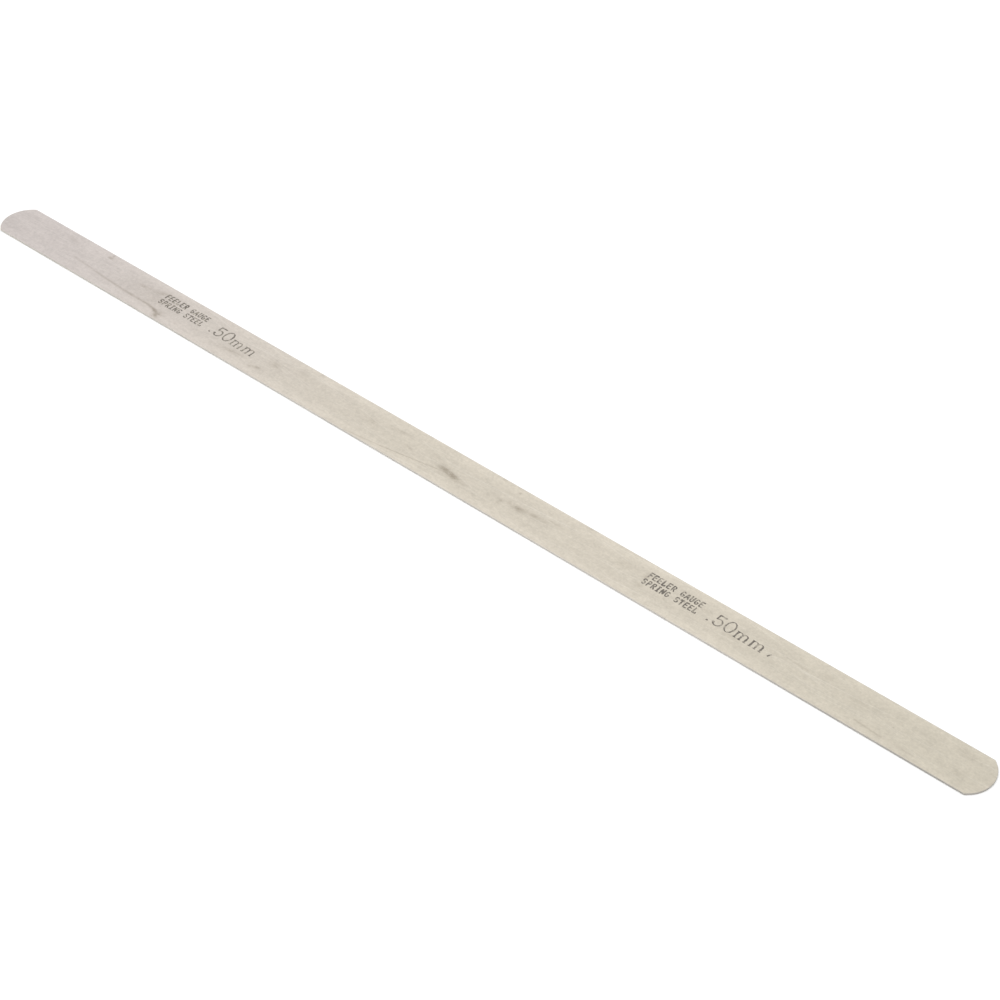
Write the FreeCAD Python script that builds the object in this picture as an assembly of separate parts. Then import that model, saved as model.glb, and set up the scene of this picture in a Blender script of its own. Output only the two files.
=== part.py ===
# Flat feeler gauge strip: one piece of hardened and tempered spring steel, 12 inches long and half an inch
# wide, rolled to the thickness that it measures. Its two broad faces are flat and parallel, and each end is
# cut to a shallow arc. Lengths are in millimetres.
#
# The origin is the centre of the lower face. +X runs along the strip, +Y across it and +Z through its
# thickness, so the strip lies on the XY plane.

import FreeCAD, Part
import math
import os

# Driving dimensions
strip_length = 304.8        # tip to tip, 12 inches
strip_width = 12.7          # 1/2 inch
strip_thickness = 0.5       # the gap that the strip measures
end_radius = 7.9375         # arc of each end, 5/16 inch, at least half the width
corner_radius = 0.4         # where an end arc meets a long side
edge_radius = 0.06          # broken edge all round both faces, under half the thickness

# What follows from them
tip = strip_length / 2
half_width = strip_width / 2
arc_centre = tip - end_radius
half_angle = math.degrees(math.asin(half_width / end_radius))
side_end = arc_centre + end_radius * math.cos(math.radians(half_angle))

same_place = 1e-6           # two points closer than this are one


def long_side(y):
    """A straight side, from where one end arc stops to where the other starts."""
    return Part.makeLine(FreeCAD.Vector(-side_end, y, 0), FreeCAD.Vector(side_end, y, 0))


def end_arcs(centre_x, facing):
    """One rounded end as two equal arcs that meet at the tip; facing is the tip's direction in degrees."""
    centre = FreeCAD.Vector(centre_x, 0, 0)
    up = FreeCAD.Vector(0, 0, 1)
    return [
        Part.makeCircle(end_radius, centre, up, facing - half_angle, facing),
        Part.makeCircle(end_radius, centre, up, facing, facing + half_angle),
    ]


def strip_outline():
    """Two straight sides joined by two rounded ends."""
    right = end_arcs(arc_centre, 0)
    left = end_arcs(-arc_centre, 180)
    return Part.Wire([long_side(-half_width), *right, long_side(half_width), *left])


def is_upright(edge):
    """True for an edge that runs through the thickness."""
    return edge.BoundBox.ZLength > strip_thickness / 2


def is_corner(edge):
    """True for an upright edge on a long side, where an end arc meets it."""
    return is_upright(edge) and abs(abs(edge.CenterOfMass.y) - half_width) < same_place


def gauge_strip():
    """The outline carried through the thickness, its corners eased and both face edges broken."""
    blank = Part.Face(strip_outline()).extrude(FreeCAD.Vector(0, 0, strip_thickness))
    eased = blank.makeFillet(corner_radius, [edge for edge in blank.Edges if is_corner(edge)])
    rims = [edge for edge in eased.Edges if not is_upright(edge)]
    return eased.makeFillet(edge_radius, rims)


os.makedirs("parts", exist_ok=True)
gauge_strip().exportStep("parts/gauge_strip.step")
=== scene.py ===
"""Looks of a flat feeler gauge strip: its rolled steel, its printed marks and a plain studio.

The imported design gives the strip's length, width and thickness. This script builds the fine surface of the
steel and the film of the marks on it, and gives each its finish. Lengths are in metres, and in millimetres
where a comment says so.
"""

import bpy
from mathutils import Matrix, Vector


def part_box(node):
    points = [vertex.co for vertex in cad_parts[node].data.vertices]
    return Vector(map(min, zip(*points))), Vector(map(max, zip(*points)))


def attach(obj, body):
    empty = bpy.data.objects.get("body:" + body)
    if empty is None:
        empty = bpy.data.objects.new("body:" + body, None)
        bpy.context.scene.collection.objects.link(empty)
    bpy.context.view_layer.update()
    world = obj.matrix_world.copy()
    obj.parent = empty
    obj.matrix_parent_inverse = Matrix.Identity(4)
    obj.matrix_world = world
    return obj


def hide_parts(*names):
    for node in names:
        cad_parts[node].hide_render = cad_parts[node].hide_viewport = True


bl_info = {
    "name": "Feeler gauge strip",
    "version": (1, 0, 0),
    "blender": (4, 5, 0),
    "location": "3D View > Sidebar > Feeler gauge",
    "description": "Builds a flat steel feeler gauge strip with its thickness marks and a plain studio",
    "category": "Object",
}

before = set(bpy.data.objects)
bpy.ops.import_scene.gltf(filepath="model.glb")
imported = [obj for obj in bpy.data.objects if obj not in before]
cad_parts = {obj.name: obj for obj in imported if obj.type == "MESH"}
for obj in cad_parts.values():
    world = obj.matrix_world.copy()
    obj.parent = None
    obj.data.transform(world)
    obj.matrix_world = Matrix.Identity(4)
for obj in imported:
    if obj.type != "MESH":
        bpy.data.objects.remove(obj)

import math

import bmesh
import bpy
import numpy as np
from bpy.props import FloatProperty, FloatVectorProperty, PointerProperty, StringProperty
from mathutils import Matrix, Vector

MM = 0.001
NODE = "gauge_strip"
BODY = "root"
INK_NAME = "black_mark"

# How finely the strip is meshed.
ARC_STEPS = 32              # along each end arc
CORNER_STEPS = 6            # along each eased corner
SIDE_STEPS = 162            # along each long side, a multiple of 3 for the texture's cuts
BEND_STEPS = 5              # round each broken edge
FLANK_STEPS = 4             # down the straight flank between two broken edges
GUARD = 0.08 * MM           # flat band that keeps the shading of a face clear of its broken edge
FACE_SHARES = np.array([0.0, 0.3, 0.6, 0.85])       # lines on a face, from its spine towards its rim
MERGE_DISTANCE = 1e-7       # under which two points are one

# How the strip's texture is packed.
UV_ROWS = 6                 # three for each face
UV_MARGIN = 0.004

# The lettering of the marks, and the film that each stroke of it is made of.
BEND_DEGREES = 9            # the most that one step of a bend turns
CAP_STEPS = 4               # round each end of a stroke
DIGIT_GAP = 0.145           # between characters, as a share of their height
LETTER_GAP = 0.18
DIGIT_STRESS = 0.32         # how much broader upright strokes are than the mean, and level ones narrower
LEGEND_STRESS = 0.0
FILM_ROOT = 0.003 * MM      # how far the film starts inside the steel
FILM_SPACING = 0.45         # between stations along a stroke, as a share of its half width
FILM_LOOK = 0.25            # how far either way a stroke's direction is measured, as such a share
PRESSURE_SPREAD = 0.12      # how much one stroke is broader or narrower than another
LONG_SWELL = 0.12           # how much one stroke swells and thins along its length, in two waves
SHORT_SWELL = 0.08
LONG_WAVE = 0.55 * MM
SHORT_WAVE = 0.17 * MM
FILM_ACROSS = np.array([-1, -0.78, 0, 0.78, 1])     # places across the film, as shares of its half width
FILM_CROWN = np.array([0, 0.8, 1, 0.8, 0])          # its thickness there, as a share of the most
THICKNESS_SEED = 0          # what the left mark's random draws start from, and one more for the right
LEGEND_SEED = 10

# The floor, the softboxes and the camera.
FLOOR_REACH = 6.0
FLOOR_POINTS = 9
FLOOR_GAP = 0.02 * MM       # keeps the floor from lying in the plane of the lower face
OVERHEAD_BOX = ((0.1, -0.5, 1.5), (0, 0, 0), (2.0, 2.0))            # place, aim and size
BACK_BOX = ((-0.50, 0.75, 0.80), (0.02, 0, 0), (0.75, 0.60))
SENSOR_WIDTH = 36           # in millimetres, as a focal length is
CLIP_START = 0.01

LOW, HIGH = (np.array(corner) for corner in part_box(NODE))
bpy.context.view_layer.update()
HALF_LENGTH, HALF_WIDTH, UPPER_FACE = (float(size) for size in HIGH / MM)       # in millimetres


# ---------------------------------------------------------------------------------------------------------
# Sizes and colours that a user would change
# ---------------------------------------------------------------------------------------------------------


def length(name, description, default):
    """A size in metres."""
    return FloatProperty(name=name, description=description, default=default, unit="LENGTH", precision=5)


def angle(name, description, degrees):
    """An angle, given in degrees and kept in radians."""
    return FloatProperty(name=name, description=description, default=math.radians(degrees), subtype="ANGLE")


def colour(name, description, default):
    """A linear colour."""
    return FloatVectorProperty(
        name=name, description=description, default=default, subtype="COLOR", min=0, max=1
    )


class StripSettings(bpy.types.PropertyGroup):
    """Shape of the steel strip. Its length, width and thickness come from the design."""

    end_radius: length("End radius", "Arc that each end is cut to", 7.9375 * MM)
    corner_radius: length("Corner radius", "Easing where an end arc meets a long side", 0.4 * MM)
    edge_radius: length("Edge radius", "Broken edge round both broad faces", 0.06 * MM)


class MarkSettings(bpy.types.PropertyGroup):
    """Wording, places and sizes of the marks on the upper face."""

    thickness: StringProperty(name="Thickness", description="Thickness mark", default=".50mm")
    upper_line: StringProperty(name="Upper line", description="Top of the legend", default="FEELER GAUGE")
    lower_line: StringProperty(name="Lower line", description="Foot of the legend", default="SPRING STEEL")
    left_start: length("Left start", "Where the left marks start along the strip", -95.6 * MM)
    right_start: length("Right start", "Where the right marks start along the strip", 60.4 * MM)
    baseline: length("Baseline", "Height of the baseline across the strip", -0.56 * MM)
    thickness_start: length("Thickness start", "From the start of the marks to the thickness", 18.15 * MM)
    slope: angle("Slope", "How far the thickness mark is turned from the strip's length", -1.1)
    digit_height: length("Digit height", "Height of the thickness mark's digits", 3.75 * MM)
    digit_stroke: length("Digit stroke", "Width of the thickness mark's strokes", 0.34 * MM)
    letter_height: length("Letter height", "Height of the legend's capitals", 1.66 * MM)
    letter_stroke: length("Letter stroke", "Width of the legend's strokes", 0.40 * MM)
    line_gap: length("Line gap", "Between the two lines of the legend", 0.85 * MM)
    film: length("Film", "How far the marks stand out of the steel", 0.012 * MM)


class FinishSettings(bpy.types.PropertyGroup):
    """Colours of the steel and of the marks."""

    # The three steel tones are the steel's own colour with a painted reflection: their drift in tint and
    # brightness from end to end stands for the slight bow of the real strip mirroring the studio unevenly.
    left_steel_and_painted_reflection: colour("Left steel", "Tone of the steel at the left end", (0.552, 0.505, 0.483))
    middle_steel_and_painted_reflection: colour("Middle steel", "Tone of the steel half way along", (0.538, 0.494, 0.421))
    right_steel_and_painted_reflection: colour("Right steel", "Tone of the steel at the right end", (0.533, 0.492, 0.411))
    edge_steel: colour("Edge steel", "Tone of the slit and cut edges", (0.57, 0.54, 0.50))
    stain: colour("Stain", "Old oil and fingerprints on the steel", (0.25, 0.21, 0.16))
    # The lighter colour of the hairline scratches is a painted glint.
    scratch_glint: colour("Scratch", "Hairline scratches in the steel", (0.9, 0.88, 0.84))
    ink: colour("Ink", "Solid part of the marks", (0.115, 0.100, 0.085))
    worn_ink: colour("Worn ink", "Marks where they are rubbed thin", (0.40, 0.365, 0.305))


class StageSettings(bpy.types.PropertyGroup):
    """Camera, floor and light."""

    azimuth: angle("Azimuth", "Turn of the camera round the strip", 37.64)
    elevation: angle("Elevation", "Height of the camera above the floor", 40.82)
    roll: angle("Roll", "Tilt of the camera about its own axis", 3.37)
    distance: length("Distance", "From the camera to its target", 555 * MM)
    target: length("Target", "Where along the strip the camera looks", 18.5 * MM)
    focal: FloatProperty(name="Focal length", description="In millimetres, on a 36 mm sensor", default=85.15)
    floor: colour("Floor", "Tone of the floor", (0.96, 0.96, 0.96))
    horizon: FloatProperty(name="Horizon", description="Brightness of the surround low down", default=0.80)
    zenith: FloatProperty(name="Zenith", description="Brightness of the surround overhead", default=1.15)
    overhead: FloatProperty(name="Overhead", description="Watts of the softbox overhead", default=6.5)
    back: FloatProperty(name="Back", description="Watts of the softbox behind the strip", default=0.6)


SETTINGS = {
    "feeler_strip": StripSettings,
    "feeler_marks": MarkSettings,
    "feeler_finish": FinishSettings,
    "feeler_stage": StageSettings,
}


# ---------------------------------------------------------------------------------------------------------
# Shader maths
# ---------------------------------------------------------------------------------------------------------


class Value:
    """What a node gives out: a number, a colour or a point that varies over a surface. Arithmetic on a
    number adds Math nodes to the material."""

    def __init__(self, shader, socket):
        self.shader = shader
        self.socket = socket

    def math(self, operation, *terms):
        """The result of a Math node that is fed these terms in order."""
        inputs = dict(enumerate(terms))
        return self.shader.node("ShaderNodeMath", {"operation": operation}, inputs)

    def __add__(self, other):
        return self.math("ADD", self, other)

    def __radd__(self, other):
        return self.math("ADD", other, self)

    def __sub__(self, other):
        return self.math("SUBTRACT", self, other)

    def __rsub__(self, other):
        return self.math("SUBTRACT", other, self)

    def __mul__(self, other):
        return self.math("MULTIPLY", self, other)

    def __rmul__(self, other):
        return self.math("MULTIPLY", other, self)

    def __neg__(self):
        return self.math("MULTIPLY", self, -1)

    def __abs__(self):
        return self.math("ABSOLUTE", self)

    def or_more(self, other):
        """The larger of two numbers."""
        return self.math("MAXIMUM", self, other)

    def clamped(self):
        """The number kept between 0 and 1."""
        return self.shader.node("ShaderNodeClamp", {}, {"Value": self})

    def fall_off(self):
        """1 where the number is 0, and falling as a bell does, exp(-v), as it grows."""
        return self.math("EXPONENT", -self)

    def step(self, band, unit=1.0):
        """0 under the band's low end and 1 over its high end, with a smooth rise between. The band's ends
        are in this unit."""
        low, high = band
        settings = {"interpolation_type": "SMOOTHSTEP"}
        inputs = {"Value": self, "From Min": low * unit, "From Max": high * unit}
        return self.shader.node("ShaderNodeMapRange", settings, inputs)


class Shader:
    """The nodes of a material or of the world, while they are being written."""

    def __init__(self, owner):
        self.owner = owner
        owner.use_nodes = True
        self.tree = owner.node_tree
        self.tree.nodes.clear()

    def node(self, kind, settings, inputs, output=0):
        """Adds a node, applies its settings, then sets or links its inputs. Returns one output, if any."""
        made = self.tree.nodes.new(kind)
        for key, value in settings.items():
            setattr(made, key, value)
        for key, value in inputs.items():
            if isinstance(value, Value):
                self.tree.links.new(value.socket, made.inputs[key])
            else:
                made.inputs[key].default_value = value
        return None if output is None else Value(self, made.outputs[output])

    def place(self):
        """The point of the surface in millimetres."""
        metres = self.node("ShaderNodeTexCoord", {}, {}, "Object")
        return self.node("ShaderNodeVectorMath", {"operation": "SCALE"}, {0: metres, "Scale": 1 / MM})

    def part(self, point, axis):
        """One of the three numbers of a point."""
        return self.node("ShaderNodeSeparateXYZ", {}, {0: point}, axis)

    def noise(self, point, size, detail=2.0, roughness=0.5, offset=(0, 0, 0), turn=0.0):
        """Smooth noise between 0 and 1 whose lumps measure about size, three lengths in millimetres, and lie
        turned about the vertical."""
        mapping = {"Vector": point, "Location": offset, "Rotation": (0, 0, turn), "Scale": size}
        mapped = self.node("ShaderNodeMapping", {"vector_type": "TEXTURE"}, mapping)
        inputs = {"Vector": mapped, "Scale": 1.0, "Detail": detail, "Roughness": roughness}
        return self.node("ShaderNodeTexNoise", {"noise_dimensions": "3D"}, inputs, "Fac")

    def mix(self, factor, first, second):
        """The colour that is first where factor is 0 and second where it is 1."""
        return self.node("ShaderNodeMix", {"data_type": "RGBA"}, {0: factor, 6: first, 7: second}, 2)

    def tint(self, shade, gain):
        """A colour made lighter or darker by a varying gain near 1."""
        return self.node("ShaderNodeVectorMath", {"operation": "SCALE"}, {0: shade, "Scale": gain})

    def bump(self, height, distance, strength):
        """The surface's direction where height, a number from 0 to 1, stands for a relief of distance."""
        return self.node("ShaderNodeBump", {}, {"Height": height, "Distance": distance, "Strength": strength})

    def finish(self, inputs):
        """Ends a material in a Principled surface with these inputs."""
        surface = self.node("ShaderNodeBsdfPrincipled", {}, inputs)
        self.node("ShaderNodeOutputMaterial", {}, {"Surface": surface}, None)
        return self.owner


def new_material(name):
    """The shader of a new material."""
    return Shader(bpy.data.materials.new(name))


def opaque(shade):
    """A colour with full alpha."""
    return (*shade, 1.0)


# ---------------------------------------------------------------------------------------------------------
# Finishes
# ---------------------------------------------------------------------------------------------------------

# Noise patterns: the size of their lumps in millimetres, and what else sets them apart.
GRAIN = {"size": (9.0, 0.11, 1.0), "detail": 3.0, "roughness": 0.6}
LONG_GRAIN = {"size": (40.0, 0.7, 1.0), "offset": (3, 7, 1)}
CLOUDS = {"size": (6.5, 3.4, 3.0), "detail": 4.0, "roughness": 0.6, "offset": (11, 4, 2)}
MOTTLE = {"size": (1.3, 0.9, 1.0), "detail": 3.0, "roughness": 0.65, "offset": (5, 9, 8)}
SPECKLE = {"size": (0.5, 0.5, 1.0), "detail": 1.0, "offset": (6, 1, 4)}
HAIRS = {"size": (30.0, 0.16, 1.0), "detail": 0.0, "offset": (2, 31, 5), "turn": math.radians(4)}
CROSS_HAIRS = {"size": (18.0, 0.14, 1.0), "detail": 0.0, "offset": (9, 3, 5), "turn": math.radians(-9)}
STAIN_BREAKUP = {"size": (0.9, 0.5, 1.0), "detail": 3.0, "roughness": 0.7}
CUTTER_MARKS = {"size": (0.09, 0.09, 2.0), "roughness": 0.6}
EDGE_PATCHES = {"size": (5.0, 5.0, 1.0), "offset": (1, 2, 3)}
COARSE_WEAR = {"size": (0.9, 0.9, 1.0), "detail": 3.0, "roughness": 0.65, "offset": (4, 4, 4)}
FINE_WEAR = {"size": (0.16, 0.16, 1.0), "roughness": 0.7}
PULP = {"size": (1.5, 1.5, 1.5), "detail": 3.0}

# Where a mask starts to rise and where it is full: along the strip in half lengths, across it in half widths
# and through it in thicknesses.
# The next two bands place the painted reflection: the drift of the steel's tone from end to end.
MIDDLE_REFLECTION_BAND = (-1.0, 0.0)   # along, where the left tone gives way to the middle one
RIGHT_REFLECTION_BAND = (0.2, 1.0)     # along, where the middle tone gives way to the right one
RIGHT_DARKENING_BAND = (0.4, 1.0)   # along, where the edge darkens
EDGE_SHEEN_BAND = (0.40, 0.95)  # across, where a painted sheen lightens the face
UPPER_BAND = (0.5, 1.0)     # through, where the stains lie

# The same for masks that are cut from a noise pattern, which lies between 0 and 1.
HAIR_BAND = (0.70, 0.76)
CROSS_HAIR_BAND = (0.73, 0.78)
BREAKUP_BAND = (0.34, 0.62)
WORN_BAND = (0.46, 0.62)

# Depths of the fine relief, how far a full stain takes the steel to its own colour, and how far hairline
# scratches take it to their lighter colour, which is a painted glint.
STEEL_RELIEF = 0.004 * MM
CUTTER_RELIEF = 0.006 * MM
INK_RELIEF = 0.006 * MM
STAIN_COVER = 0.55
SCRATCH_GLINT_COVER = 0.10

# Blots of old oil: centre, half length, half width, turn in degrees, strength. In millimetres.
BLOTS = [
    (-118.5, 4.5, 0.85, 0.50, 0, 0.70),
    (-118.3, 5.7, 0.35, 0.80, 0, 0.55),
    (-131.5, 3.6, 2.2, 0.6, -15, 0.22),
    (-102.6, 1.8, 2.6, 0.50, 8, 0.42),
    (-97.0, 2.8, 2.1, 0.65, 28, 0.42),
    (-100.5, 0.0, 7.5, 3.4, 0, 0.17),
    (-95.0, 0.6, 4.5, 2.6, 0, 0.16),
    (-93.4, -3.7, 1.35, 0.50, -16, 0.85),
    (-92.1, -4.8, 0.80, 1.20, 25, 0.64),
    (-91.4, -4.2, 1.25, 1.25, 25, 0.46),
    (-85.7, -4.0, 0.40, 0.50, 0, 0.34),
    (-67.3, -2.5, 3.6, 0.70, 6, 0.46),
    (-59.6, -3.5, 0.80, 0.40, 15, 0.48),
    (-57.9, -3.0, 0.85, 0.45, 10, 0.80),
    (-55.2, 1.0, 1.80, 0.95, -10, 0.50),
    (-47.5, 3.2, 3.2, 1.3, -40, 0.20),
    (-43.8, 5.7, 0.40, 0.40, 0, 0.45),
    (-22.6, 0.9, 1.9, 0.75, -6, 0.36),
    (-13.8, 2.8, 3.2, 0.65, 8, 0.27),
    (-9.6, -0.6, 1.5, 0.35, -8, 0.27),
    (-2.4, 1.4, 1.6, 0.60, 0, 0.22),
    (1.4, -0.8, 1.6, 0.90, -20, 0.42),
    (3.6, -1.1, 2.2, 1.10, -12, 0.75),
    (5.8, -1.6, 1.6, 0.85, -15, 0.72),
    (8.9, -2.0, 1.1, 0.35, 0, 0.38),
    (12.8, -3.4, 0.6, 0.40, 0, 0.22),
    (15.0, 6.0, 0.5, 0.35, 0, 0.50),
    (19.1, -0.4, 0.55, 0.45, 0, 0.62),
    (19.0, -1.5, 0.50, 0.55, 0, 0.26),
    (20.9, 4.6, 0.30, 0.30, 0, 0.80),
    (21.2, 0.4, 0.75, 0.60, 0, 0.34),
    (24.2, 0.0, 1.80, 0.85, 4, 0.80),
    (28.5, 0.5, 1.7, 0.65, 10, 0.50),
    (31.7, 0.5, 0.9, 0.50, 0, 0.34),
    (33.4, 1.7, 1.7, 0.28, -2, 0.42),
    (40.9, 6.0, 0.8, 0.30, 0, 0.40),
    (54.3, 1.6, 1.8, 1.40, 0, 0.22),
    (60.4, 1.6, 0.7, 1.30, 0, 0.34),
    (60.6, -1.8, 0.8, 0.60, 0, 0.32),
    (67.7, -1.6, 0.40, 0.35, 0, 0.34),
    (76.8, 1.9, 1.6, 0.60, 0, 0.24),
    (86.0, -1.0, 1.8, 0.60, 0, 0.26),
    (109.0, 2.8, 1.6, 0.90, 0, 0.20),
    (118.0, 1.0, 2.2, 1.00, 0, 0.22),
    (128.0, -0.4, 0.25, 0.25, 0, 0.50),
    (133.0, -4.4, 2.3, 0.36, -3, 0.34),
    (145.0, -2.2, 1.6, 0.80, 20, 0.26),
    (144.0, 3.6, 3.0, 1.20, -8, 0.20),
]

# Thin streaks and scratches: start, stop, half width, strength. In millimetres.
STREAKS = [
    (-125.5, -1.5, -116.5, -2.3, 0.32, 0.30),
    (-117.0, -2.3, -105.5, -2.95, 0.30, 0.52),
    (-106.5, -2.95, -96.5, -3.0, 0.36, 0.62),
    (-96.5, -3.0, -93.4, -3.6, 0.38, 0.64),
    (-26.0, -6.2, -15.0, -4.7, 0.12, 0.40),
    (-15.2, -4.75, -4.0, -2.75, 0.15, 0.62),
    (-4.2, -2.8, 0.5, -2.0, 0.18, 0.55),
    (120.4, -3.95, 127.4, -4.45, 0.27, 0.42),
    (98.0, 2.0, 104.5, 1.6, 0.25, 0.20),
]


def blot_mask(x, y, blot):
    """A soft ellipse: exp of minus the squared distance from its centre, measured in half sizes."""
    centre_x, centre_y, half_length, half_width, turn, strength = blot
    cos, sin = math.cos(math.radians(turn)), math.sin(math.radians(turn))
    dx = x - centre_x
    dy = y - centre_y
    along = dx * (cos / half_length) + dy * (sin / half_length)
    across = dy * (cos / half_width) - dx * (sin / half_width)
    return (along * along + across * across).fall_off() * strength


def streak_mask(x, y, streak):
    """A soft line: exp of minus the squared distance from the segment, measured in half widths."""
    start_x, start_y, stop_x, stop_y, half_width, strength = streak
    run_x, run_y = stop_x - start_x, stop_y - start_y
    square = run_x ** 2 + run_y ** 2
    dx = x - start_x
    dy = y - start_y
    along = (dx * (run_x / square) + dy * (run_y / square)).clamped()
    off_x = (dx - along * run_x) * (1 / half_width)
    off_y = (dy - along * run_y) * (1 / half_width)
    return (off_x * off_x + off_y * off_y).fall_off() * strength


def steel_finish(finish):
    """Satin rolled steel: its own tone with a painted reflection that drifts along the strip, lengthwise
    grain, faint clouds and speckle, hairline scratches lightened by a painted glint, a painted sheen that
    lightens the face towards its long edges, and stains at their own places on the upper face only. Each
    pattern is weighted by how much it does to the brightness, the roughness or the relief."""
    shader = new_material("satin_rolled_steel")
    point = shader.place()
    x, y, z = (shader.part(point, axis) for axis in "XYZ")

    # Painted reflection: the steel's tone drifts from end to end, as the bowed real strip mirrors the studio.
    reflection_to_middle = x.step(MIDDLE_REFLECTION_BAND, HALF_LENGTH)
    reflection_to_right = x.step(RIGHT_REFLECTION_BAND, HALF_LENGTH)
    tone = shader.mix(reflection_to_middle, opaque(finish.left_steel_and_painted_reflection), opaque(finish.middle_steel_and_painted_reflection))
    tone = shader.mix(reflection_to_right, tone, opaque(finish.right_steel_and_painted_reflection))

    grain = shader.noise(point, **GRAIN)
    long_grain = shader.noise(point, **LONG_GRAIN)
    clouds = shader.noise(point, **CLOUDS)
    mottle = shader.noise(point, **MOTTLE)
    speckle = shader.noise(point, **SPECKLE)
    # Painted sheen: the face is lighter towards its long edges, and it is also made a little smoother there.
    rubbed = abs(y).step(EDGE_SHEEN_BAND, HALF_WIDTH)
    rolled = grain * 0.070 + long_grain * 0.060
    gain = 0.590 + rolled + clouds * 0.190 + mottle * 0.250 + speckle * 0.220 + rubbed * 0.040
    tone = shader.tint(tone, gain)

    # Breakup makes the blots patchy, and the streaks less so.
    upper = z.step(UPPER_BAND, UPPER_FACE)
    breakup = shader.noise(point, **STAIN_BREAKUP).step(BREAKUP_BAND)
    soiled = sum(blot_mask(x, y, blot) for blot in BLOTS)
    scored = 0.0
    for streak in STREAKS:
        scored = streak_mask(x, y, streak).or_more(scored)
    stain = (soiled * (0.45 + breakup * 0.75) + scored * (0.65 + breakup * 0.45)) * upper
    stain = stain.clamped()
    tone = shader.mix(stain * STAIN_COVER, tone, opaque(finish.stain))

    # Hairline scratches: their relief and smoothness are real, their lighter colour is a painted glint.
    hairs = shader.noise(point, **HAIRS).step(HAIR_BAND)
    hairline = hairs + shader.noise(point, **CROSS_HAIRS).step(CROSS_HAIR_BAND)
    tone = shader.mix(hairline.clamped() * SCRATCH_GLINT_COVER, tone, opaque(finish.scratch_glint))

    relief = grain * 0.6 + long_grain * 0.5 + hairline * 0.5
    return shader.finish({
        "Base Color": tone,
        "Metallic": 1.0,
        "Roughness": 0.36 + grain * 0.07 + clouds * 0.05 + stain * 0.16 - rubbed * 0.04 - hairline * 0.05,
        "Normal": shader.bump(relief, STEEL_RELIEF, strength=0.35),
    })


def edge_finish(finish):
    """Slit and cut edge: fine marks of the cutter through the thickness, uneven patches, and a tone that
    darkens towards the right end."""
    shader = new_material("cut_steel_edge")
    point = shader.place()
    cutter = shader.noise(point, **CUTTER_MARKS)
    patches = shader.noise(point, **EDGE_PATCHES)
    # Darker towards the right end of the strip.
    right_end_darkening = shader.part(point, "X").step(RIGHT_DARKENING_BAND, HALF_LENGTH)
    gain = (0.78 + cutter * 0.25 + patches * 0.20) * (1 - right_end_darkening * 0.30)
    return shader.finish({
        "Base Color": shader.tint(finish.edge_steel, gain),
        "Metallic": 1.0,
        "Roughness": 0.38 + cutter * 0.14,
        "Normal": shader.bump(cutter, CUTTER_RELIEF, strength=0.5),
    })


def ink_finish(finish):
    """Black marking film, solid in places and rubbed thin in others."""
    shader = new_material(INK_NAME)
    point = shader.place()
    coarse = shader.noise(point, **COARSE_WEAR)
    fine = shader.noise(point, **FINE_WEAR)
    worn = (coarse * 0.65 + fine * 0.35).step(WORN_BAND)
    return shader.finish({
        "Base Color": shader.mix(worn, opaque(finish.ink), opaque(finish.worn_ink)),
        "Metallic": worn * 0.5,
        "Roughness": 0.62 - worn * 0.15 + fine * 0.1,
        "Normal": shader.bump(fine, INK_RELIEF, strength=0.4),
    })


def floor_finish(stage):
    """Matt white sheet with a barely uneven surface."""
    shader = new_material("white_sheet")
    pulp = shader.noise(shader.place(), **PULP)
    tone = shader.tint(stage.floor, 0.995 + pulp * 0.01)
    return shader.finish({"Base Color": tone, "Roughness": 0.9, "Specular IOR Level": 0.0})


# ---------------------------------------------------------------------------------------------------------
# Meshes
# ---------------------------------------------------------------------------------------------------------


def grid_quads(rows, columns, closed=False):
    """Corner numbers of the quads of a grid of points that is stored row by row. Closed rows join their last
    point back to their first."""
    row = np.arange(rows - 1)
    column = np.arange(columns if closed else columns - 1)
    row, column = np.meshgrid(row, column, indexing="ij")
    here, above = row * columns, (row + 1) * columns
    beside = (column + 1) % columns
    corners = (here + column, here + beside, above + beside, above + column)
    return np.stack([corner.ravel() for corner in corners], axis=1)


def mesh_piece(name, points, quads):
    """A mesh object in its place. The shells are closed by close_shells once all data is on the mesh."""
    mesh = bpy.data.meshes.new(name)
    mesh.from_pydata(points.tolist(), [], quads.tolist())
    piece = bpy.data.objects.new(name, mesh)
    bpy.context.scene.collection.objects.link(piece)
    return piece


def close_shells(piece):
    """Merges the points that meet at poles and seams, and turns all faces outwards."""
    work = bmesh.new()
    work.from_mesh(piece.data)
    bmesh.ops.remove_doubles(work, verts=work.verts, dist=MERGE_DISTANCE)
    bmesh.ops.recalc_face_normals(work, faces=work.faces)
    work.to_mesh(piece.data)
    work.free()


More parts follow.
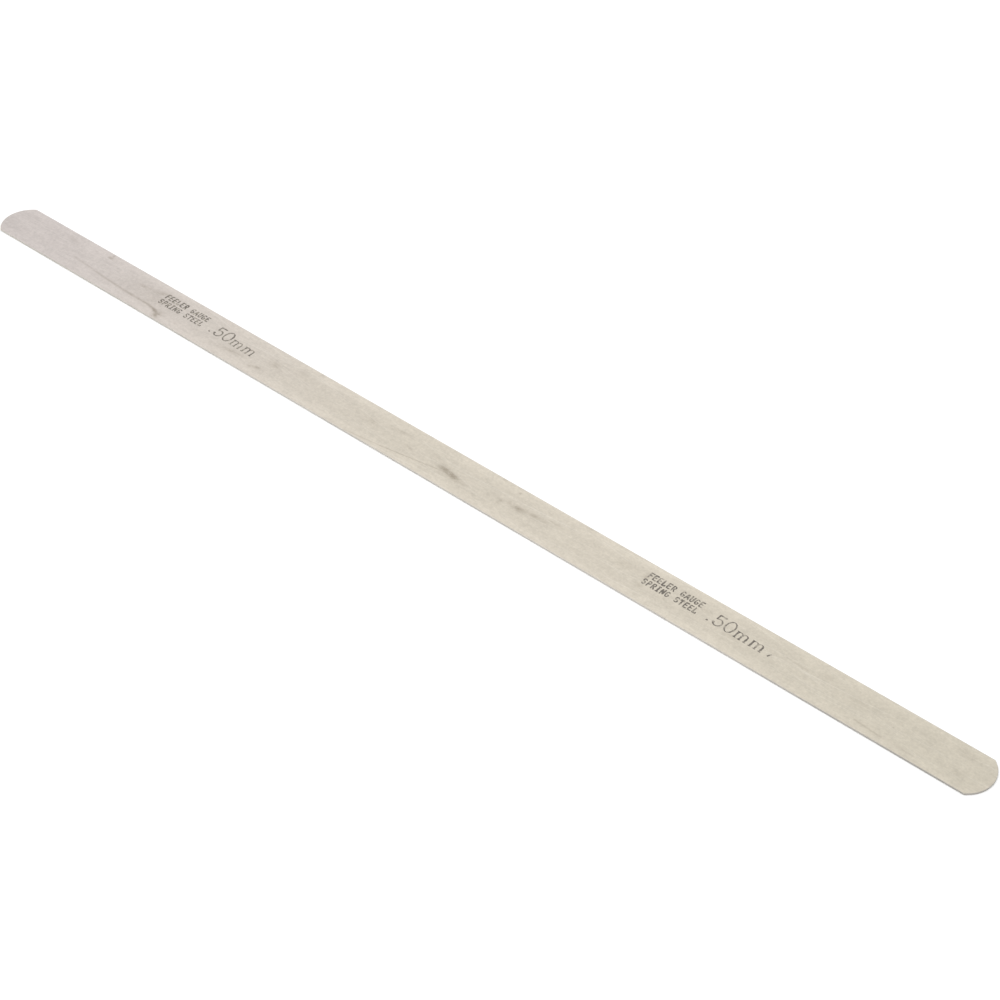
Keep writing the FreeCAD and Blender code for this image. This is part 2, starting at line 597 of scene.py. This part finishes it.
def strip_outline(sizes):
    """Stations round the strip's outline: a centre, a reach and an outward direction for each.

    A point of the outline moved inwards by d lies at centre + (reach - d) * direction. On an end arc the
    centre is the arc's own, on an eased corner it is the corner's, and on a long side it slides along beside
    the edge, so one rule serves the whole outline and every line parallel to it.
    """
    end, corner = sizes.end_radius, sizes.corner_radius
    arc_x = HIGH[0] - end
    corner_y = HIGH[1] - corner
    corner_x = arc_x + math.sqrt((end - corner) ** 2 - corner_y ** 2)
    turn = math.atan2(corner_y, corner_x - arc_x)

    arc = np.linspace(-turn, turn, ARC_STEPS + 1)
    easing = np.linspace(turn, math.pi / 2, CORNER_STEPS + 1)[1:]
    side_x = np.linspace(corner_x, -corner_x, SIDE_STEPS + 1)[1:-1]
    turns = np.concatenate([arc, easing, np.full(len(side_x), math.pi / 2), math.pi - easing[::-1]])
    beside_x = np.concatenate([np.full(len(easing), corner_x), side_x, np.full(len(easing), -corner_x)])
    centre_x = np.concatenate([np.full(len(arc), arc_x), beside_x])
    centre_y = np.concatenate([np.zeros(len(arc)), np.full(len(beside_x), corner_y)])
    reach = np.concatenate([np.full(len(arc), end), np.full(len(beside_x), corner)])
    centre = np.stack([centre_x, centre_y], axis=1)
    direction = np.stack([np.cos(turns), np.sin(turns)], axis=1)
    # The other half of the outline is this half turned about the middle of the strip.
    return {
        "centre": np.concatenate([centre, -centre]),
        "reach": np.concatenate([reach, reach]),
        "direction": np.concatenate([direction, -direction]),
        "arc_x": arc_x,
        "corner_x": corner_x,
    }


def offset_outline(outline, inset):
    """One line parallel to the outline for each inset: centre + (reach - inset) * direction."""
    span = outline["reach"][None] - inset[:, None]
    return outline["centre"][None] + span[..., None] * outline["direction"][None]


def rim_section(edge_radius):
    """The section round the strip's edge, from the upper face to the lower: a quarter circle, a straight
    flank and a quarter circle. Returns insets from the outline and heights. The first and last points lie
    on the faces, a little inside the rounding, to keep the faces' shading flat."""
    thickness = HIGH[2] - LOW[2]
    quarter = np.linspace(0, math.pi / 2, BEND_STEPS + 1)
    upper_inset = np.concatenate([[edge_radius + GUARD], edge_radius * (1 - np.sin(quarter))])
    upper_drop = np.concatenate([[0], edge_radius * (1 - np.cos(quarter))])
    flank_drop = np.linspace(edge_radius, thickness - edge_radius, FLANK_STEPS + 1)[1:-1]
    inset = np.concatenate([upper_inset, np.zeros(len(flank_drop)), upper_inset[::-1]])
    drop = np.concatenate([upper_drop, flank_drop, thickness - upper_drop[::-1]])
    return inset, HIGH[2] - drop


def strip_surface(sizes):
    """The whole skin of the strip as a grid. One parameter goes round the outline. The other goes from the
    spine of the upper face out to the rim, round the edge and back to the spine of the lower face. The spine
    is the line between the centres of the two end arcs, and a point of a face is a share of the way from it
    to the rim. Also returns the plan of the same grid with the edge laid out flat beside the faces, and how
    far from the middle its texture is cut, at a third of the long sides."""
    outline = strip_outline(sizes)
    inset, height = rim_section(sizes.edge_radius)
    rim = offset_outline(outline, inset)
    spine_x = np.clip(rim[0][:, 0], -outline["arc_x"], outline["arc_x"])
    spine = np.stack([spine_x, np.zeros(len(spine_x))], axis=1)
    share = FACE_SHARES[:, None, None]
    face = spine * (1 - share) + rim[0] * share
    plan = np.concatenate([face, rim, face[::-1]])
    levels = np.concatenate([np.full(len(face), HIGH[2]), height, np.full(len(face), LOW[2])])
    levels = np.broadcast_to(levels[:, None, None], (*plan.shape[:2], 1))
    points = np.concatenate([plan, levels], axis=2)

    steps = np.hypot(np.diff(inset), np.diff(height))
    travelled = np.concatenate([[0], np.cumsum(steps)])
    laid_inset = inset[0] - np.minimum(travelled, travelled[-1] - travelled)
    laid = np.concatenate([face, offset_outline(outline, laid_inset), face[::-1]])
    return points, laid, outline["corner_x"] / 3


def packed_uv(laid, quads, row_of_quad, cut_x):
    """Texture places that pack the long strip into six rows of a square: the upper face cut in three across
    its length, then the lower face. The cuts are at -cut_x and cut_x."""
    far_x, far_y = laid[..., 0].max(), laid[..., 1].max()
    corners = laid.reshape(-1, 2)[quads]
    third = np.digitize(corners[..., 0].mean(axis=1), [-cut_x, cut_x])
    lower = row_of_quad >= (len(laid) - 1) / 2
    row = third + UV_ROWS // 2 * lower
    start = np.array([-far_x, -cut_x, cut_x])[third]
    along = (corners[..., 0] - start[:, None]) / (far_x - cut_x)
    across = (corners[..., 1] / far_y + 1) / 2
    u = UV_MARGIN + along * (1 - 2 * UV_MARGIN)
    row_margin = UV_ROWS * UV_MARGIN
    v = (row[:, None] + row_margin + across * (1 - 2 * row_margin)) / UV_ROWS
    return np.stack([u, v], axis=2)


# ---------------------------------------------------------------------------------------------------------
# Lettering
# ---------------------------------------------------------------------------------------------------------


def run(*points):
    """A stroke of straight runs through these points."""
    return np.array(points, float)


def bend(centre_x, centre_y, radius_x, radius_y, start, stop):
    """A stroke along part of an ellipse, from a start to a stop in degrees, anticlockwise if stop is more."""
    turns = np.radians(np.linspace(start, stop, 2 + int(abs(stop - start) / BEND_DEGREES)))
    return np.stack([centre_x + radius_x * np.cos(turns), centre_y + radius_y * np.sin(turns)], axis=1)


def join(*strokes):
    """Strokes that follow on from each other, as one."""
    return np.concatenate(strokes)


def letter_m():
    """A small m with three stems on slabs, as a typewriter writes it."""
    stems = (0.12, 0.47, 0.84)
    shoulder = 0.40         # where an arch meets its stem
    arch = 0.175            # half the width of an arch
    rise = 0.17             # from the shoulder to the top
    serif = 0.08
    slab = 0.07             # half the length of a slab
    top = shoulder + rise
    first = run((stems[0] - serif, top), (stems[0], top), (stems[0], 0))
    others = [
        join(run((x, 0), (x, shoulder)), bend(x - arch, shoulder, arch, rise, 0, 180)) for x in stems[1:]
    ]
    slabs = [run((x - slab, 0), (x + slab, 0)) for x in stems]
    return [first, *others, *slabs]


def stem_and_bowl(reach):
    """What P and R have in common: a stem, and a bowl with this reach."""
    stem = run((0.12, 0), (0.12, 1), (0.30, 1))
    return join(stem, bend(0.30, 0.74, reach, 0.26, 90, -90), run((0.12, 0.48)))


# Strokes of each character, and the widths of those that aren't as wide as a capital. The unit is the height
# of a digit or a capital.
GLYPHS = {
    " ": [],
    ".": [bend(0.06, 0.05, 0.035, 0.035, 0, 360)],
    "/": [run((0.31, 0.06), (0.42, 0.29))],
    "0": [bend(0.335, 0.5, 0.30, 0.5, 90, 450)],
    "5": [
        join(run((0.56, 0.96), (0.12, 0.96), (0.10, 0.54)), bend(0.32, 0.31, 0.285, 0.31, 130, -150)),
        run((0.18, 0.91), (0.56, 0.91)),
        bend(0.085, 0.20, 0.035, 0.045, 0, 360),
    ],
    "m": letter_m(),
    "A": [run((0.03, 0), (0.30, 1), (0.57, 0)), run((0.13, 0.34), (0.47, 0.34))],
    "E": [run((0.52, 1), (0.10, 1), (0.10, 0), (0.54, 0)), run((0.10, 0.52), (0.42, 0.52))],
    "F": [run((0.54, 1), (0.12, 1), (0.12, 0)), run((0.12, 0.52), (0.44, 0.52))],
    "G": [join(bend(0.31, 0.5, 0.25, 0.5, 50, 325), run((0.53, 0.44), (0.34, 0.44)))],
    "I": [run((0.30, 0), (0.30, 1)), run((0.16, 0), (0.44, 0)), run((0.16, 1), (0.44, 1))],
    "L": [run((0.12, 1), (0.12, 0), (0.54, 0), (0.54, 0.16))],
    "N": [run((0.09, 0), (0.09, 1), (0.51, 0), (0.51, 1))],
    "P": [stem_and_bowl(0.23)],
    "R": [stem_and_bowl(0.22), run((0.30, 0.48), (0.54, 0))],
    "S": [join(bend(0.30, 0.75, 0.22, 0.25, 30, 270), bend(0.30, 0.25, 0.22, 0.25, 90, -150))],
    "T": [run((0.05, 0.84), (0.05, 1), (0.55, 1), (0.55, 0.84)), run((0.30, 1), (0.30, 0))],
    "U": [join(run((0.09, 1), (0.09, 0.30)), bend(0.30, 0.30, 0.21, 0.30, 180, 360), run((0.51, 1)))],
}
CAPITAL_WIDTH = 0.60
WIDTHS = {".": 0.22, "0": 0.67, "5": 0.65, "m": 0.97}


def line_of_strokes(text, start, height, gap, slope=0.0):
    """The strokes of a line of text on the upper face, turned by its slope about its start."""
    strokes = []
    place = 0
    turn = np.array([[math.cos(slope), math.sin(slope)], [-math.sin(slope), math.cos(slope)]])
    for character in text:
        strokes += [((shape + (place, 0)) * height) @ turn + start for shape in GLYPHS[character]]
        place += WIDTHS.get(character, CAPITAL_WIDTH) + gap
    return strokes


def stroke_film(stroke, half_width, stress, film, random):
    """A stroke as a thin closed film on the upper face: a low crowned section carried along the stroke.

    The half width swells and thins as two sine waves do, with phases drawn at random, and the film is thicker
    where it is broader. The half width is more by the share stress where the stroke is upright and less by it
    where the stroke is level, and past each end of the stroke it falls as a circle does, to a point. The film
    starts just inside the steel.
    """
    steps = np.linalg.norm(np.diff(stroke, axis=0), axis=1)
    travelled = np.concatenate([[0], np.cumsum(steps)])
    total = travelled[-1]
    cap = half_width * np.sin(np.linspace(0, math.pi / 2, CAP_STEPS + 1))
    body = np.linspace(0, total, 2 + int(total / (FILM_SPACING * half_width)))
    place = np.concatenate([-cap[:0:-1], body, total + cap[1:]])
    inside = np.clip(place, 0, total)
    over = np.abs(place - inside)

    def points_at(distance):
        """The points of the stroke at these distances along it, or at its nearer end."""
        return np.stack([np.interp(distance, travelled, stroke[:, axis]) for axis in (0, 1)], axis=1)

    look = FILM_LOOK * half_width
    tangent = points_at(inside + look) - points_at(inside - look)
    tangent /= np.linalg.norm(tangent, axis=1)[:, None]
    centre = points_at(inside) + tangent * (place - inside)[:, None]
    normal = np.stack([-tangent[:, 1], tangent[:, 0]], axis=1)

    phase = random.uniform(0, 2 * math.pi, 2)
    long_wave = LONG_SWELL * np.sin(place / LONG_WAVE + phase[0])
    short_wave = SHORT_SWELL * np.sin(place / SHORT_WAVE + phase[1])
    pressure = 1 + random.uniform(-PRESSURE_SPREAD, PRESSURE_SPREAD)
    swell = pressure * (1 + long_wave + short_wave)
    most = (1 + PRESSURE_SPREAD) * (1 + LONG_SWELL + SHORT_SWELL)
    nib = 1 - stress + 2 * stress * np.abs(tangent[:, 1])
    taper = np.sqrt(np.clip(1 - (over / half_width) ** 2, 0, 1))
    reach = half_width * swell * nib * taper

    flat = centre[:, None] + (reach[:, None] * FILM_ACROSS[None])[..., None] * normal[:, None]
    thick = np.where(taper > 0, FILM_ROOT + film * swell / most, 0)
    level = HIGH[2] - FILM_ROOT + thick[:, None] * FILM_CROWN[None]
    points = np.concatenate([flat, level[..., None]], axis=2)
    return points.reshape(-1, 3), grid_quads(len(place), len(FILM_ACROSS), closed=True)


def shared_ink(context):
    """The marks' one material, made by the first operator that needs it."""
    return bpy.data.materials.get(INK_NAME) or ink_finish(context.scene.feeler_finish)


def film_piece(context, name, strokes, stroke_width, stress, seed):
    """All strokes of one mark as one piece, each stroke a closed film of its own."""
    film = context.scene.feeler_marks.film
    random = np.random.default_rng(seed)
    films = [stroke_film(stroke, stroke_width / 2, stress, film, random) for stroke in strokes]
    starts = np.cumsum([0] + [len(points) for points, _ in films[:-1]])
    points = np.concatenate([points for points, _ in films])
    quads = np.concatenate([quads + start for (_, quads), start in zip(films, starts)])
    piece = mesh_piece(name, points, quads)
    close_shells(piece)
    piece.data.materials.append(shared_ink(context))
    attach(piece, BODY)


def ends_of_strip(marks):
    """The number and name of each end, and where its marks start."""
    return (0, "left", marks.left_start), (1, "right", marks.right_start)


# ---------------------------------------------------------------------------------------------------------
# Operators
# ---------------------------------------------------------------------------------------------------------


class FEELER_OT_strip(bpy.types.Operator):
    """Build the steel strip and give its faces and edges their finishes"""

    bl_idname = "feeler.build_strip"
    bl_label = "Steel strip"

    def execute(self, context):
        points, laid, cut_x = strip_surface(context.scene.feeler_strip)
        rows, columns = points.shape[:2]
        quads = grid_quads(rows, columns, closed=True)
        row_of_quad = quads[:, 0] // columns
        piece = mesh_piece("steel_strip", points.reshape(-1, 3), quads)
        uv = packed_uv(laid, quads, row_of_quad, cut_x)
        piece.data.uv_layers.new(name="OFBake").data.foreach_set("uv", uv.astype(np.float32).ravel())
        face_rows = len(FACE_SHARES) + 1        # with the guard
        on_edge = (row_of_quad >= face_rows) & (row_of_quad < rows - 1 - face_rows)
        piece.data.materials.append(steel_finish(context.scene.feeler_finish))
        piece.data.materials.append(edge_finish(context.scene.feeler_finish))
        piece.data.polygons.foreach_set("material_index", on_edge.astype(np.int32))
        close_shells(piece)
        piece.data.shade_smooth()
        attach(piece, BODY)
        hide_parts(NODE)
        return {"FINISHED"}


class FEELER_OT_thickness_marks(bpy.types.Operator):
    """Mark the thickness on the upper face, once towards each end"""

    bl_idname = "feeler.mark_thickness"
    bl_label = "Thickness marks"

    def execute(self, context):
        marks = context.scene.feeler_marks
        for number, side, start in ends_of_strip(marks):
            first = (start + marks.thickness_start, marks.baseline)
            # The right mark ends in a slip of the marking tool.
            text = marks.thickness + ("/" if side == "right" else "")
            strokes = line_of_strokes(text, first, marks.digit_height, DIGIT_GAP, marks.slope)
            seed = THICKNESS_SEED + number
            film_piece(context, f"{side}_thickness_mark", strokes, marks.digit_stroke, DIGIT_STRESS, seed)
        return {"FINISHED"}


class FEELER_OT_legends(bpy.types.Operator):
    """Mark two lines of plain wording beside each thickness mark"""

    bl_idname = "feeler.mark_legends"
    bl_label = "Legends"

    def execute(self, context):
        marks = context.scene.feeler_marks
        height = marks.letter_height
        upper_baseline = marks.baseline + height + marks.line_gap
        for number, side, start in ends_of_strip(marks):
            upper = line_of_strokes(marks.upper_line, (start, upper_baseline), height, LETTER_GAP)
            lower = line_of_strokes(marks.lower_line, (start, marks.baseline), height, LETTER_GAP)
            seed = LEGEND_SEED + number
            film_piece(context, f"{side}_legend", upper + lower, marks.letter_stroke, LEGEND_STRESS, seed)
        return {"FINISHED"}


def add_softbox(name, box, power):
    """A soft rectangle of light that points from its place to its aim."""
    place, aim, (width, height) = box
    light = bpy.data.lights.new(name, "AREA")
    light.shape = "RECTANGLE"
    light.size = width
    light.size_y = height
    light.energy = power
    lamp = bpy.data.objects.new(name, light)
    bpy.context.scene.collection.objects.link(lamp)
    lamp.location = place
    lamp.rotation_euler = (Vector(aim) - Vector(place)).to_track_quat("-Z", "Y").to_euler()


class FEELER_OT_stage(bpy.types.Operator):
    """Lay a white floor, light it softly and set up the camera"""

    bl_idname = "feeler.set_stage"
    bl_label = "Stage"

    def execute(self, context):
        stage = context.scene.feeler_stage
        self.lay_floor(stage)
        self.light(context.scene, stage)
        self.aim_camera(context.scene, stage)
        context.scene.view_settings.view_transform = "Standard"
        return {"FINISHED"}

    def lay_floor(self, stage):
        """A flat sheet just under the strip's lower face."""
        line = np.linspace(-FLOOR_REACH, FLOOR_REACH, FLOOR_POINTS)
        x, y = np.meshgrid(line, line, indexing="ij")
        points = np.stack([x, y, np.full_like(x, LOW[2] - FLOOR_GAP)], axis=2)
        facing_up = grid_quads(FLOOR_POINTS, FLOOR_POINTS)[:, ::-1]
        floor = mesh_piece("floor", points.reshape(-1, 3), facing_up)
        floor.data.materials.append(floor_finish(stage))

    def light(self, scene, stage):
        """A white surround that brightens with the sine of the height above the horizon, a broad softbox
        overhead and a fainter one that the satin faces mirror."""
        shader = Shader(bpy.data.worlds.new("white_surround"))
        direction = shader.node("ShaderNodeTexCoord", {}, {}, "Generated")
        height = shader.node("ShaderNodeSeparateXYZ", {}, {0: direction}, "Z").clamped()
        strength = stage.horizon + height * (stage.zenith - stage.horizon)
        sky = shader.node("ShaderNodeBackground", {}, {"Color": (1, 1, 1, 1), "Strength": strength})
        shader.node("ShaderNodeOutputWorld", {}, {"Surface": sky}, None)
        scene.world = shader.owner
        add_softbox("overhead_softbox", OVERHEAD_BOX, stage.overhead)
        add_softbox("back_softbox", BACK_BOX, stage.back)

    def aim_camera(self, scene, stage):
        """The camera stands at its distance from the target, turned by azimuth, elevation and roll. The
        columns of its turn are its right, its up and the direction back from the target."""
        azimuth, elevation, roll = stage.azimuth, stage.elevation, stage.roll
        back = Vector((
            math.sin(azimuth) * math.cos(elevation),
            -math.cos(azimuth) * math.cos(elevation),
            math.sin(elevation),
        ))
        level = (-back).cross(Vector((0, 0, 1))).normalized()
        upright = level.cross(-back)
        right = math.cos(roll) * level + math.sin(roll) * upright
        up = math.cos(roll) * upright - math.sin(roll) * level
        place = Vector((stage.target, 0, 0)) + back * stage.distance
        data = bpy.data.cameras.new("camera")
        data.lens = stage.focal
        data.sensor_width = SENSOR_WIDTH
        data.clip_start = CLIP_START
        camera = bpy.data.objects.new("camera", data)
        scene.collection.objects.link(camera)
        turn = Matrix((right, up, back)).transposed()
        camera.matrix_world = Matrix.Translation(place) @ turn.to_4x4()
        scene.camera = camera


class FEELER_PT_sidebar(bpy.types.Panel):
    """Lists the steps of the model and their settings"""

    bl_idname = "FEELER_PT_sidebar"
    bl_label = "Feeler gauge"
    bl_space_type = "VIEW_3D"
    bl_region_type = "UI"
    bl_category = "Feeler gauge"

    def draw(self, context):
        for operator in OPERATORS:
            self.layout.operator(operator.bl_idname)
        for attribute, group in SETTINGS.items():
            box = self.layout.box()
            for name in group.__annotations__:
                box.prop(getattr(context.scene, attribute), name)


OPERATORS = (FEELER_OT_strip, FEELER_OT_thickness_marks, FEELER_OT_legends, FEELER_OT_stage)


def register():
    """Registers the settings, the operators and the panel."""
    for kind in (*SETTINGS.values(), *OPERATORS, FEELER_PT_sidebar):
        bpy.utils.register_class(kind)
    for attribute, group in SETTINGS.items():
        setattr(bpy.types.Scene, attribute, PointerProperty(type=group))


def unregister():
    """Undoes register."""
    for attribute in SETTINGS:
        delattr(bpy.types.Scene, attribute)
    for kind in reversed((*SETTINGS.values(), *OPERATORS, FEELER_PT_sidebar)):
        bpy.utils.unregister_class(kind)


def main():
    register()
    bpy.ops.feeler.build_strip()
    bpy.ops.feeler.mark_thickness()
    bpy.ops.feeler.mark_legends()
    bpy.ops.feeler.set_stage()


if __name__ == "__main__":
    main()
